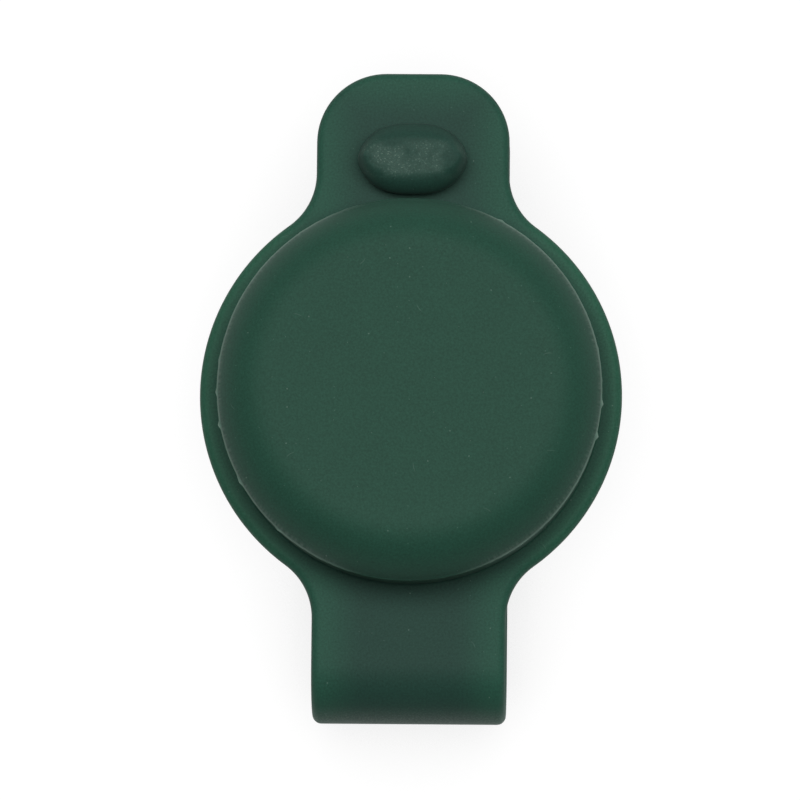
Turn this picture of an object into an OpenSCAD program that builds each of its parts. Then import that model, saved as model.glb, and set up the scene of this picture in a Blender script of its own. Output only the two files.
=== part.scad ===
// A soft silicone holder that keeps a coin-shaped tracker tag on a belt, collar or bag strap.
// The moulding is one long strap. Its front run carries the round pocket and ends in a tab with
// a slot. The strap then turns back in a fold, runs behind the belt and rises to a tongue whose
// button is pushed through the slot. The tag sits in the pocket behind an elastic lip.
//
// +Z points out of the pocket's face, +Y from the fold to the tab. The pocket's axis is Z, and
// z = 0 is the back of the rear run, on which the holder lies.

/* [Strap] */
// Width of the strap, the tab and the tongue
strap_w = 17.5; // [15:0.1:19]
// Thickness of the strap
strap_t = 1.8; // [1.5:0.05:2.2]
// Rounding of the strap's edges
strap_edge_r = 0.8; // [0.3:0.05:0.9]
// Clear height inside the loop, between the front and the rear run
loop_gap = 6.6; // [5.5:0.1:8]
// Length of the front run from the ring round the pocket to the outside of the fold
fold_len = 10.3; // [9.5:0.1:16]
// Length of the tab from the ring round the pocket to its end
tab_len = 10.4; // [10:0.1:14]
// Corner radius of the tab
tab_corner_r = 6.3; // [2:0.1:7]
// Hollow radius where the strap widens into the ring
neck_r = 5.95; // [3:0.05:7]

/* [Pocket] */
// Width of the ring that shows round the pocket
ring_w = 1.9; // [1.2:0.05:3]
// Side wall of the pocket
pocket_wall = 1.2; // [0.8:0.05:2]
// Front wall of the pocket
pocket_roof = 0.95; // [0.7:0.05:2]
// Room between the tag and the pocket
pocket_gap = 0.1; // [0.05:0.01:0.3]
// How much wider the pocket's flat face is than the tag's, on each side
face_margin = 0.2; // [0:0.05:1]
// How bevelled the pocket's shoulder is, where 1 is a plain quarter oval
shoulder_bevel = 1.35; // [1:0.05:1.5]
// Height of the mould's parting line above the ring
parting_h = 4.2; // [3:0.1:5]
// How far the moulding's parting ridge stands out
ridge_out = 0.12; // [0.05:0.01:0.3]
// Height of the parting ridge
ridge_h = 0.3; // [0.2:0.05:0.6]
// Hollow radius at the pocket's foot
foot_r = 0.5; // [0.2:0.05:1]
// How far the tag's rear face lies inside the strap's back
tag_recess = 0.5; // [0.3:0.05:1]
// How far the mouth's edge stands clear of the tag's rear face
mouth_gap = 0.5; // [0.2:0.05:0.8]

/* [Button] */
// Length of the button's head, across the strap
head_len = 9.9; // [9:0.1:12]
// Width of the button's head, along the strap
head_w = 6.5; // [5.5:0.1:7]
// Height of the button's head
head_h = 2.8; // [2:0.1:3.5]
// Height at which the head is widest, above its underside
head_belly = 0.9; // [0.5:0.05:1.2]
// How pointed the head's two ends are, where 1 is a plain oval
head_point = 1.15; // [1:0.05:1.4]
// How square the head's section is, where 1 is round
head_square = 0.77; // [0.6:0.01:1]
// How far the head's underside is drawn in
head_undercut = 0.55; // [0.3:0.05:1]
// Length of the button's neck, across the strap
neck_len = 5.6; // [5:0.1:6]
// Width of the button's neck, along the strap
neck_w = 2.6; // [2:0.1:3]
// Room between the neck and the slot
slot_gap = 0.25; // [0.15:0.05:0.4]
// Room between the pocket and the button's head
head_gap = 0.95; // [0.6:0.05:2]
// Room under the head, above the tab
head_seat = 0.15; // [0.1:0.05:0.4]

/* [Rear run] */
// Room between the tongue and the tab
tongue_gap = 0.2; // [0.1:0.05:0.5]
// How much shorter the tongue is than the tab
tongue_short = 0.5; // [0.2:0.1:1]
// Radius of the two bends that lift the tongue, at mid thickness
rise_r = 6.5; // [5:0.1:8]
// Flat stretch of the tongue from the rise to the button's neck
tongue_flat = 2.9; // [2:0.1:4]

/* [Tag] */
// Diameter of the tracker tag
tag_d = 31.8; // [31:0.1:34]
// Thickness of the tracker tag
tag_h = 8; // [7.9:0.05:9]
// Diameter of the tag's flat front face
tag_face_d = 25; // [23:0.1:27]
// Height of the tag's straight side above its rear face
tag_side_h = 4.8; // [4.6:0.05:5]
// Height of the bevel round the tag's rear face
tag_bevel_h = 1.9; // [1.8:0.05:2.2]
// Width of the bevel round the tag's rear face
tag_bevel_w = 2.6; // [2.3:0.05:2.8]
// Wall of the tag's front cap
cap_wall = 0.9; // [0.7:0.05:1]
// Room between the tag's rigid pieces
fit_gap = 0.05; // [0.03:0.01:0.1]

/* [Battery] */
// Diameter of the coin cell
cell_d = 20; // [19:0.1:20.5]
// Thickness of the coin cell
cell_h = 3.2; // [3:0.05:3.3]
// Sheet thickness of the cell's can
can_t = 0.25; // [0.2:0.05:0.4]
// Width of the cell's sealing ring
seal_w = 1.05; // [0.6:0.05:1.5]
// How far the cell's cap stands above its can
cap_step = 0.3; // [0.2:0.05:0.5]
// Sheet thickness of the battery cover
cover_t = 0.5; // [0.4:0.05:0.6]
// Height of the cover's rim
cover_rim_h = 1.7; // [1.6:0.05:1.75]
// Rim of the tag's body that shows round the cover
cover_margin = 0.6; // [0.5:0.05:0.8]
// Room round the cover, in which it turns
cover_gap = 0.08; // [0.05:0.01:0.1]
// How far each bayonet lug stands out of the cover's rim
lug_out = 0.5; // [0.3:0.05:0.6]
// Height of each lug
lug_h = 0.6; // [0.4:0.05:0.7]
// Angle that each lug takes up
lug_angle = 16; // [10:1:20]
// Angle by which the cover turns to unlock
twist_angle = 20; // [15:1:30]
// Diameter of the three finger dimples in the cover
dimple_d = 2.4; // [1.5:0.1:3]
// Depth of the finger dimples
dimple_depth = 0.2; // [0.1:0.05:0.3]

/* [Electronics] */
// Height of the spring contacts under the cell
contact_h = 0.5; // [0.4:0.05:0.7]
// Sheet thickness of the contacts
contact_t = 0.15; // [0.1:0.01:0.2]
// Width of each contact
contact_w = 1.8; // [1:0.1:3]
// Length of each contact
contact_len = 4.5; // [3:0.1:5]
// Floor of the battery well
floor_t = 0.5; // [0.4:0.05:0.6]
// Thickness of the circuit board
board_t = 0.8; // [0.6:0.05:0.9]
// Width of the circuit board ring
board_w = 6.6; // [5:0.1:6.7]
// Room between the board and what is beside it
board_gap = 0.3; // [0.2:0.05:0.5]
// Side of the board's largest chip
chip_side = 3.6; // [2:0.1:4]
// Height of the chips
chip_h = 0.8; // [0.4:0.05:0.9]
// Width of the antenna carrier ring
antenna_w = 1.8; // [1:0.1:2]
// Height of the antenna carrier ring
antenna_h = 1.2; // [0.8:0.05:1.3]
// Height of the speaker's yoke
yoke_h = 1.4; // [1:0.05:1.5]
// Wall of the speaker's yoke
yoke_t = 0.5; // [0.4:0.05:0.7]
// Radial width of the voice coil
coil_w = 0.8; // [0.5:0.05:0.9]
// Room on each side of the voice coil
coil_gap = 0.3; // [0.2:0.05:0.4]
// How deep the voice coil dips into the yoke
coil_dip = 0.5; // [0.3:0.05:0.6]

/* [Hidden] */
$fn = 96;

silicone = "#2f5043";
white_plastic = "#e9e9e6";
steel = "#b9bcc0";

// One overrun for every cut that passes right through a wall
over = 1;
// The two halves of the soft fold, which meet at the living hinge, turn by this much each
fold_turn = 90;
// Number of steps in a curved profile and in the button's outline
shoulder_steps = 14;
head_steps = 15;
head_rings = 7;
// Number of bayonet lugs, contacts and finger dimples round the tag's axis
lugs = 3;
lug_pitch = 360 / lugs;

edge_r = min(strap_edge_r, strap_t * 0.48);

// Levels of the strap's two runs
back_z = strap_t + loop_gap;
ring_z = back_z + strap_t;
tongue_z = back_z - tongue_gap - strap_t;

// Levels and radii of the tag and the pocket round it
tag_r = tag_d / 2;
tag_face_r = tag_face_d / 2;
tag_rear_r = tag_r - tag_bevel_w;
tag_z = back_z + tag_recess;
pocket_r = tag_r + pocket_gap + pocket_wall;
pocket_z = tag_z + tag_h + pocket_gap + pocket_roof;
parting_z = ring_z + parting_h;
ring_r = pocket_r + ring_w;
mouth_r = tag_rear_r + mouth_gap;

// Where the pocket's roof begins, and where its lip ends on the tag's bevel
roof_z = tag_z + tag_h + pocket_gap;
lip_z = tag_z - pocket_gap + (mouth_gap - pocket_gap) * tag_bevel_h / tag_bevel_w;

// The hollow corners between the ring and the strap
neck_x = strap_w / 2 + neck_r;
neck_y = sqrt(pow(ring_r + neck_r, 2) - pow(neck_x, 2));
neck_angle = atan2(neck_y, neck_x);
neck_band = (edge_r + ring_w) / 2;
web_band = (edge_r + neck_band) / 2;

// The fold, whose axis lies along X
fold_out_r = strap_t + loop_gap / 2;
fold_mid_r = fold_out_r - strap_t / 2;
fold_y = -(ring_r + fold_len - fold_out_r);

// The tab and the button
tab_y = ring_r + tab_len;
button_y = pocket_r + head_gap + head_w / 2;

// The rise of the rear run
rise_angle = acos(1 - tongue_z / (2 * rise_r));
tongue_y = button_y - neck_w / 2 - tongue_flat;
rise_y = tongue_y - 2 * rise_r * sin(rise_angle);

// Radii and levels inside the tag, measured from its rear face
cover_r = tag_rear_r - cover_margin;
well_r = cell_d / 2 + 3 * fit_gap;
cell_z = cover_t + fit_gap;
well_z = cell_z + cell_h + contact_h;
deck_z = well_z + floor_t;
recess_z = cover_rim_h + cover_gap;
cap_in_r = tag_r - cap_wall;
cap_in_z = tag_h - cap_wall;
lug_z = cover_rim_h - lug_h - cover_gap;
board_r = tag_face_r - board_gap;
hub_r = board_r - board_w - board_gap;

// Points of a rounded shoulder, from its foot at (r1, z0) to its top at (r0, z1). A bevel of 1
// gives a quarter oval, and a larger one a flatter slope between tighter bends.
function shoulder(r0, r1, z0, z1, bevel = 1) = [
    for (i = [0:shoulder_steps])
        let (a = 90 * i / shoulder_steps)
            [r0 + (r1 - r0) * pow(cos(a), bevel), z0 + (z1 - z0) * pow(sin(a), bevel)]
];

function backwards(points) = [for (i = [len(points) - 1:-1:0]) points[i]];

// Cross-section of the strap from its middle to one rounded edge, its back on the X axis
module strap_half(reach) {
    square([reach - edge_r, strap_t]);
    translate([0, edge_r]) square([reach, strap_t - 2 * edge_r]);
    for (z = [edge_r, strap_t - edge_r])
        translate([reach - edge_r, z]) circle(edge_r);
}

module strap_section(width) {
    strap_half(width / 2);
    mirror([1, 0]) strap_half(width / 2);
}

// A straight run of strap that starts at the origin and heads along +Y
module strap_run(length) {
    rotate([90, 0, 180]) linear_extrude(length) strap_section(strap_w);
}

// A bend of the strap that starts at the origin, heads along +Y and curves up
module strap_arc(mid_r, angle) {
    translate([0, 0, strap_t / 2 + mid_r]) rotate([0, 90, 0]) rotate_extrude(angle = angle)
        translate([mid_r + strap_t / 2, 0]) rotate(90) strap_section(strap_w);
}

// The end of the strap, which starts at the origin and has two rounded corners
module strap_end(length) {
    corner_x = strap_w / 2 - tab_corner_r;
    strap_run(length - tab_corner_r);
    translate([0, length - tab_corner_r, 0]) {
        translate([-corner_x, 0, 0]) rotate([90, 0, 90])
            linear_extrude(2 * corner_x) strap_half(tab_corner_r);
        for (side = [0, 1])
            mirror([side, 0, 0]) translate([corner_x, 0, 0])
                rotate_extrude(angle = 90) strap_half(tab_corner_r);
    }
}

// The hollow corner between the ring and the strap, on the side of +X and +Y
module neck_corner() {
    translate([neck_x, neck_y, 0]) rotate([0, 0, 180]) rotate_extrude(angle = 90)
        translate([neck_r + neck_band, 0]) mirror([1, 0]) strap_half(neck_band);
}

// The strap's root at the ring's +Y end: a flat web between two hollow corners, which reaches
// into them and into the strap. One wedge on each side trims web and corner where the ring's
// own edge takes over.
module strap_root() {
    web_x = strap_w / 2 - web_band;
    difference() {
        union() {
            linear_extrude(strap_t) {
                difference() {
                    translate([-neck_x, 0]) square([2 * neck_x, neck_y]);
                    circle(pocket_r);
                    for (x = [-neck_x, neck_x])
                        translate([x, neck_y]) circle(neck_r + web_band);
                }
                translate([-web_x, pocket_r]) square([2 * web_x, neck_y + web_band - pocket_r]);
            }
            neck_corner();
            mirror([1, 0, 0]) neck_corner();
        }
        for (side = [0, 1])
            mirror([side, 0, 0]) translate([0, 0, -over]) linear_extrude(strap_t + 2 * over)
                polygon([[0, 0], [neck_x, neck_y], [neck_x + over, neck_y], [neck_x + over, -over]]);
    }
}

// The pocket's section, clockwise from the edge of its mouth: the lip under the tag's bevel, the
// hollow at the foot, the ridge left by the mould, the crown and then the room for the tag
function pocket_section() = concat(
    [[mouth_r, back_z], [pocket_r, back_z], [pocket_r, ring_z]],
    [for (i = [0:shoulder_steps]) let (a = 90 * i / shoulder_steps)
        [pocket_r + foot_r * (1 - sin(a)), ring_z + foot_r * (1 - cos(a))]],
    [[pocket_r, parting_z - ridge_h], [pocket_r + ridge_out, parting_z - ridge_h / 2]],
    shoulder(tag_face_r + face_margin, pocket_r, parting_z, pocket_z, shoulder_bevel),
    [[0, pocket_z], [0, roof_z]],
    backwards(shoulder(tag_face_r, tag_r + pocket_gap, tag_z + tag_side_h, roof_z)),
    [[tag_r + pocket_gap, tag_z + tag_bevel_h - pocket_gap], [mouth_r, lip_z]]
);

module pocket() {
    color(silicone) {
        rotate_extrude() polygon(pocket_section());
        translate([0, 0, back_z])
            for (turn = [0, 180])
                rotate([0, 0, turn - neck_angle]) rotate_extrude(angle = 2 * neck_angle)
                    translate([pocket_r, 0]) strap_half(ring_w);
    }
}

module front_strap() {
    color(silicone) translate([0, 0, back_z]) mirror([0, 1, 0]) {
        strap_root();
        translate([0, neck_y, 0]) strap_run(-fold_y - neck_y);
    }
}

// A bar with round ends across the strap at the button's place
module button_bar(length, width, height) {
    reach = (length - width) / 2;
    for (x = [-reach, reach])
        translate([x, 0, 0]) cylinder(d = width, h = height);
    translate([-reach, -width / 2, 0]) cube([2 * reach, width, height]);
}

module button_tab() {
    color(silicone) translate([0, 0, back_z]) difference() {
        union() {
            strap_root();
            translate([0, neck_y, 0]) strap_end(tab_y - neck_y);
        }
        translate([0, button_y, -over])
            button_bar(neck_len + 2 * slot_gap, neck_w + 2 * slot_gap, strap_t + 2 * over);
    }
}

// Each half of the fold runs from its straight neighbour to the living hinge between them
module fold_half() {
    translate([0, fold_y, 0]) mirror([0, 1, 0]) strap_arc(fold_mid_r, fold_turn);
}

module fold_front() {
    color(silicone) translate([0, 0, ring_z]) mirror([0, 0, 1]) fold_half();
}

module fold_rear() {
    color(silicone) fold_half();
}

module rear_strap() {
    color(silicone) translate([0, fold_y, 0]) strap_run(rise_y - fold_y);
}

// Two equal bends that meet at the middle of the rise, each a half turn of the other
module rear_rise() {
    color(silicone) translate([0, (rise_y + tongue_y) / 2, (tongue_z + strap_t) / 2])
        for (turn = [0, 180])
            rotate([turn + rise_angle, 0, 0]) mirror([0, 1, 0]) translate([0, 0, -strap_t / 2])
                strap_arc(rise_r, rise_angle);
}

module tongue() {
    color(silicone) translate([0, tongue_y, tongue_z]) strap_end(tab_y - tongue_short - tongue_y);
}

// Outline of the button's head, pointed a little at its two ends, drawn in by a margin
function head_outline(inset) = [
    for (i = [0:4 * head_steps - 1])
        let (a = 90 * i / head_steps, c = cos(a), s = sin(a))
        [(head_len / 2 - inset) * c, (head_w / 2 - inset) * sign(s) * pow(abs(s), head_point)]
];

// The head's rings from its underside to the top, each with its inset and its height
function head_levels() = concat(
    [for (i = [0:head_rings]) let (a = 90 * i / head_rings)
        [head_undercut * (1 - sin(a)), head_belly * (1 - cos(a))]],
    [for (i = [1:head_rings]) let (a = 80 * i / head_rings)
        [head_w / 2 * (1 - pow(cos(a), head_square)),
            head_belly + (head_h - head_belly) * pow(sin(a), head_square)]]
);

module button_head() {
    levels = head_levels();
    count = 4 * head_steps;
    points = [for (level = levels) for (p = head_outline(level[0])) [p[0], p[1], level[1]]];
    last = len(levels) - 1;
    top = len(points);
    sides = [
        for (k = [0:last - 1]) for (i = [0:count - 1])
            let (a = k * count + i, b = k * count + (i + 1) % count)
            each [[a, a + count, b], [b, a + count, b + count]]
    ];
    crown = [for (i = [0:count - 1]) [last * count + i, top, last * count + (i + 1) % count]];
    base = [[for (i = [0:count - 1]) i]];
    polyhedron(concat(points, [[0, 0, head_h]]), concat(sides, crown, base));
}

module button_stud() {
    base_z = tongue_z + strap_t;
    color(silicone) translate([0, button_y, 0]) {
        translate([0, 0, base_z])
            button_bar(neck_len, neck_w, ring_z + head_seat + head_belly - base_z);
        translate([0, 0, ring_z + head_seat]) button_head();
    }
}

// A ring about the tag's axis
module ring(inner_r, outer_r, height) {
    difference() {
        cylinder(r = outer_r, h = height);
        translate([0, 0, -over]) cylinder(r = inner_r, h = height + 2 * over);
    }
}

// A stretch of such a ring, from one angle on through a sweep
module ring_arc(inner_r, outer_r, height, start, sweep) {
    rotate([0, 0, start]) rotate_extrude(angle = sweep)
        translate([inner_r, 0]) square([outer_r - inner_r, height]);
}

module tag_cap() {
    outside = concat([[tag_r, tag_bevel_h]], shoulder(tag_face_r, tag_r, tag_side_h, tag_h));
    inside = concat([[cap_in_r, tag_bevel_h]], shoulder(tag_face_r, cap_in_r, tag_side_h, cap_in_z));
    color(white_plastic) translate([0, 0, tag_z]) rotate_extrude()
        polygon(concat(outside, [[0, tag_h], [0, cap_in_z]], backwards(inside)));
}

module tag_chassis() {
    body = [
        [tag_rear_r, 0], [tag_r, tag_bevel_h], [cap_in_r - fit_gap, tag_bevel_h],
        [cap_in_r - fit_gap, deck_z], [0, deck_z], [0, well_z], [well_r, well_z],
        [well_r, recess_z], [cover_r + cover_gap, recess_z], [cover_r + cover_gap, 0]
    ];
    groove_r = cover_r + lug_out + cover_gap;
    groove_h = lug_h + 2 * cover_gap;
    slack = 1;
    entry = lug_angle + 2 * slack;
    color(white_plastic) translate([0, 0, tag_z]) difference() {
        rotate_extrude() polygon(body);
        for (i = [0:lugs - 1]) {
            start = i * lug_pitch - slack - twist_angle;
            translate([0, 0, lug_z - cover_gap])
                ring_arc(cover_r, groove_r, groove_h, start, entry + twist_angle);
            translate([0, 0, -over])
                ring_arc(cover_r, groove_r, over + lug_z, start, entry);
        }
    }
}

module antenna_ring() {
    outer_r = cap_in_r - fit_gap - board_gap;
    color("#3c3f42") translate([0, 0, tag_z + deck_z]) ring(outer_r - antenna_w, outer_r, antenna_h);
}

module circuit_board() {
    color("#1f6b3a") translate([0, 0, tag_z + deck_z]) ring(board_r - board_w, board_r, board_t);
}

// Each chip has its bearing round the board and its side as a share of the largest one
module board_chips() {
    chips = [[20, 1], [75, 0.6], [130, 0.8], [195, 0.5], [245, 0.9], [310, 0.6]];
    mid_r = board_r - board_w / 2;
    color("#26282b") translate([0, 0, tag_z + deck_z + board_t])
        for (chip = chips)
            let (side = chip_side * chip[1])
            rotate([0, 0, chip[0]]) translate([mid_r - side / 2, -side / 2, 0])
                cube([side, side, chip_h * chip[1]]);
}

module speaker_yoke() {
    color(steel) translate([0, 0, tag_z + deck_z]) {
        cylinder(r = hub_r, h = yoke_t);
        ring(hub_r - yoke_t, hub_r, yoke_h);
    }
}

// The coil hangs from the cap, between the yoke's wall and the magnet
coil_r = hub_r - yoke_t - coil_gap;
magnet_r = coil_r - coil_w - coil_gap;

module speaker_magnet() {
    color("#8d9094") translate([0, 0, tag_z + deck_z + yoke_t])
        cylinder(r = magnet_r, h = yoke_h - yoke_t);
}

module voice_coil() {
    foot_z = deck_z + yoke_h - coil_dip;
    color("#b5733a") translate([0, 0, tag_z + foot_z])
        ring(coil_r - coil_w, coil_r, cap_in_z - foot_z);
}

// Each contact is a leaf that leaves the well's floor and presses on the cell's cap
module battery_contacts() {
    leaf = [
        [0, contact_h], [0, contact_h - contact_t], [contact_len / 4, contact_h - contact_t],
        [contact_len * 3 / 4, 0], [contact_len, 0], [contact_len, contact_t],
        [contact_len * 3 / 4 + contact_t, contact_t], [contact_len / 4 + contact_t, contact_h]
    ];
    near_r = cell_d / 2 - can_t - seal_w - 2 * contact_w;
    color("#c9a24a") translate([0, 0, tag_z + cell_z + cell_h])
        for (i = [0:lugs - 1])
            rotate([0, 0, i * lug_pitch]) translate([near_r, contact_w / 2, 0])
                mirror([1, 0, 0]) rotate([90, 0, 0]) linear_extrude(contact_w) polygon(leaf);
}

module cell_can() {
    color(steel) translate([0, 0, tag_z + cell_z]) {
        cylinder(d = cell_d, h = can_t);
        ring(cell_d / 2 - can_t, cell_d / 2, cell_h - cap_step);
    }
}

module cell_seal() {
    color("#d9d9d2") translate([0, 0, tag_z + cell_z + can_t])
        ring(cell_d / 2 - can_t - seal_w, cell_d / 2 - can_t, cell_h - cap_step - can_t);
}

module cell_cap() {
    color(steel) translate([0, 0, tag_z + cell_z + can_t])
        cylinder(r = cell_d / 2 - can_t - seal_w, h = cell_h - can_t);
}

module battery_cover() {
    dimple_r = cover_r - 2 * dimple_d;
    color(steel) translate([0, 0, tag_z]) difference() {
        union() {
            cylinder(r = cover_r, h = cover_t);
            ring(cover_r - cover_t, cover_r, cover_rim_h);
            for (i = [0:lugs - 1])
                translate([0, 0, lug_z])
                    ring_arc(cover_r - cover_t, cover_r + lug_out, lug_h, i * lug_pitch, lug_angle);
        }
        for (i = [0:lugs - 1])
            rotate([0, 0, i * lug_pitch]) translate([dimple_r, 0, -over])
                cylinder(d = dimple_d, h = over + dimple_depth);
    }
}

pocket();
button_tab();
front_strap();
fold_front();
fold_rear();
rear_strap();
rear_rise();
tongue();
button_stud();
tag_cap();
tag_chassis();
antenna_ring();
circuit_board();
board_chips();
speaker_yoke();
speaker_magnet();
voice_coil();
battery_contacts();
cell_can();
cell_seal();
cell_cap();
battery_cover();
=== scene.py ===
# %% [markdown]
# # A soft silicone holder for a coin-shaped tracker tag
#
# The holder is one moulding of dark green silicone. It is a long flat strap with a round pocket
# on its front run. The strap turns back in a fold, runs behind the pocket and ends in a tongue
# whose button comes up through a slot in the tab.
#
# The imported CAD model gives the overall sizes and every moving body. This script only dresses
# it. The soft CAD solids are replaced by two skins and a button, and the hard pieces of the tag
# keep their CAD meshes and get finishes.

# %% Load the frame
import math

import bmesh
import bpy
from mathutils import Matrix, Vector, noise


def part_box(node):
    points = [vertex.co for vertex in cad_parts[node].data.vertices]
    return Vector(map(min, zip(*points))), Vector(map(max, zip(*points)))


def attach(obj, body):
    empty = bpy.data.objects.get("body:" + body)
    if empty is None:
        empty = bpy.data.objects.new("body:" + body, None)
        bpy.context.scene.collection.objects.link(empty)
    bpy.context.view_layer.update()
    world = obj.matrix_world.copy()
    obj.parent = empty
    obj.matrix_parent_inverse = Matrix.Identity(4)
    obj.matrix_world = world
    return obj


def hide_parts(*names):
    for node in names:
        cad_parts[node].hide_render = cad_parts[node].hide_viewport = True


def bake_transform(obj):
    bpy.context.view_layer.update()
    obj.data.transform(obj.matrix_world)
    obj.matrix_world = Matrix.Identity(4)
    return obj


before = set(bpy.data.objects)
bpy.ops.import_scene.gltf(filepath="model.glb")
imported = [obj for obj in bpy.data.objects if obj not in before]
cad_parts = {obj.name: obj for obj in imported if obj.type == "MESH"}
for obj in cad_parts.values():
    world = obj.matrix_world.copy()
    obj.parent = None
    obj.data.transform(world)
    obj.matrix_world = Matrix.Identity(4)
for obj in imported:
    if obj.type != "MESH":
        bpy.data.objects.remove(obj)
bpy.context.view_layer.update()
MM = 0.001

# %% [markdown]
# ## Sizes
#
# What the frame knows is read from it: the levels of the front run, the ends of the strap and
# the places of its bends. A size that a box can't give is written in millimetres, in the cell
# that first needs it.

# %% Sizes
STRAP_W = 2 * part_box("rear_strap")[1].x
STRAP_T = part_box("rear_strap")[1].z
RING_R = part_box("pocket")[1].x
BACK_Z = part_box("button_tab")[0].z
FRONT_Z = BACK_Z + STRAP_T
TAB_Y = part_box("button_tab")[1].y
FOLD_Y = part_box("rear_strap")[0].y
RISE_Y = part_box("rear_strap")[1].y
TONGUE_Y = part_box("tongue")[0].y
TONGUE_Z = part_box("tongue")[0].z
TONGUE_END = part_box("tongue")[1].y
FOLD_AXIS_Z = FRONT_Z / 2
FOLD_R = FOLD_AXIS_Z - STRAP_T / 2
RISE_R = 6.5 * MM
RISE_ANGLE = math.acos(1 - TONGUE_Z / (2 * RISE_R))

# Lengths along the middle of the strap, which is drawn flat and then wrapped
FOLD_LEN = math.pi * FOLD_R
REAR_LEN = RISE_Y - FOLD_Y
RISE_LEN = 2 * RISE_ANGLE * RISE_R
FLAT_END = FOLD_Y - FOLD_LEN - REAR_LEN - RISE_LEN - (TONGUE_END - TONGUE_Y)
print(f"the strap is {(TAB_Y - FLAT_END) / MM:.1f} mm long when it is laid out flat")

# %% [markdown]
# ## Small helpers for drawing
#
# Blender has no pen, but a single vertex that is extruded along lines and spun round centres
# draws any outline made of straight lines and arcs. Everything is deselected first, because an
# operator acts on all that is selected.

# %% A pen made of one vertex
MERGE = 0.002 * MM


def deselect():
    bpy.ops.object.select_all(action="DESELECT")


def start_pen(name, x, y, z):
    """A new object in edit mode that holds one selected vertex."""
    deselect()
    bpy.ops.mesh.primitive_plane_add(size=MM, location=(0, 0, 0))
    bpy.context.object.name = name
    bpy.ops.object.mode_set(mode="EDIT")
    bpy.ops.mesh.select_mode(type="VERT")
    bpy.ops.mesh.select_all(action="SELECT")
    bpy.ops.mesh.merge(type="CENTER")
    bpy.ops.transform.translate(value=(x, y, z))
    return bpy.context.object


def pen_at():
    mesh = bmesh.from_edit_mesh(bpy.context.object.data)
    return next(v.co.copy() for v in mesh.verts if v.select)


def line_to(x, y, z):
    step = Vector((x, y, z)) - pen_at()
    bpy.ops.mesh.extrude_region_move(TRANSFORM_OT_translate={"value": step})


def arc_round(centre, degrees, steps):
    """Spins the pen round an upright axis. Seen from above, positive degrees turn left."""
    bpy.ops.mesh.spin(steps=steps, angle=-math.radians(degrees), center=centre, axis=(0, 0, 1))


def close_pen():
    """Merges what the pen drew twice and leaves all of it selected."""
    bpy.ops.mesh.select_mode(type="VERT")
    bpy.ops.mesh.select_all(action="SELECT")
    bpy.ops.mesh.remove_doubles(threshold=MERGE)
    bpy.ops.mesh.select_all(action="SELECT")


print("the pen merges points that are nearer than", MERGE / MM, "mm")

# %% [markdown]
# ## The strap, laid out flat
#
# The whole moulding could be sculpted in its folded shape, but its outline is only clear when
# it is flat, so it is drawn as a blank first, the way a cutter would lay it out. The pen draws
# the right half and a Mirror modifier adds the left. The blank lies at the height of the front
# run, where the pocket stands, and all of it past the fold is wrapped into place later.

# %% Outline of the blank
CORNER_R = 6.3 * MM
NECK_R = 5.95 * MM
CORNER_STEPS = 20
RING_STEPS = 110
HALF_W = STRAP_W / 2
NECK_X = HALF_W + NECK_R
NECK_Y = math.sqrt((RING_R + NECK_R) ** 2 - NECK_X ** 2)
NECK_ANGLE = math.degrees(math.atan2(NECK_Y, NECK_X))

blank = start_pen("moulding", 0, TAB_Y, FRONT_Z)
line_to(HALF_W - CORNER_R, TAB_Y, FRONT_Z)
arc_round((HALF_W - CORNER_R, TAB_Y - CORNER_R, FRONT_Z), -90, CORNER_STEPS)
line_to(HALF_W, NECK_Y, FRONT_Z)
arc_round((NECK_X, NECK_Y, FRONT_Z), NECK_ANGLE, CORNER_STEPS)
arc_round((0, 0, FRONT_Z), -2 * NECK_ANGLE, RING_STEPS)
arc_round((NECK_X, -NECK_Y, FRONT_Z), NECK_ANGLE, CORNER_STEPS)
line_to(HALF_W, FLAT_END + CORNER_R, FRONT_Z)
arc_round((HALF_W - CORNER_R, FLAT_END + CORNER_R, FRONT_Z), -90, CORNER_STEPS)
line_to(0, FLAT_END, FRONT_Z)
bpy.ops.object.mode_set(mode="OBJECT")

# The halves are merged where they meet, and nothing else is near enough to be merged
mirror = blank.modifiers.new("Mirror", "MIRROR")
mirror.merge_threshold = 0.01 * MM
bpy.ops.object.modifier_apply(modifier=mirror.name)
print("the outline has", len(blank.data.vertices), "points")

# %% [markdown]
# ## Thickness and rounded edges
#
# The outline is filled, extruded by the strap's thickness, and its two rims are bevelled to the
# moulding's radius. A narrow inset beside each bevel holds the flat faces flat under smooth
# shading. Faces and edges are picked by where they point, since there is no mouse here.

# %% Thickness and edges
EDGE_R = 0.8 * MM
EDGE_SEGMENTS = 6
HOLD = 0.1 * MM
FLAT = 0.999


def select_faces(test):
    bpy.ops.mesh.select_mode(type="FACE")
    bpy.ops.mesh.select_all(action="DESELECT")
    mesh = bmesh.from_edit_mesh(bpy.context.object.data)
    for face in mesh.faces:
        face.select_set(test(face))
    mesh.select_flush_mode()
    bmesh.update_edit_mesh(bpy.context.object.data)


def select_edges(test):
    bpy.ops.mesh.select_mode(type="EDGE")
    bpy.ops.mesh.select_all(action="DESELECT")
    mesh = bmesh.from_edit_mesh(bpy.context.object.data)
    for edge in mesh.edges:
        edge.select_set(test(edge))
    mesh.select_flush_mode()
    bmesh.update_edit_mesh(bpy.context.object.data)
    return sum(edge.select for edge in mesh.edges)


def level(face):
    return abs(face.normal.z) > FLAT


def at_rim(edge):
    return len(edge.link_faces) == 2 and sum(level(face) for face in edge.link_faces) == 1


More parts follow.
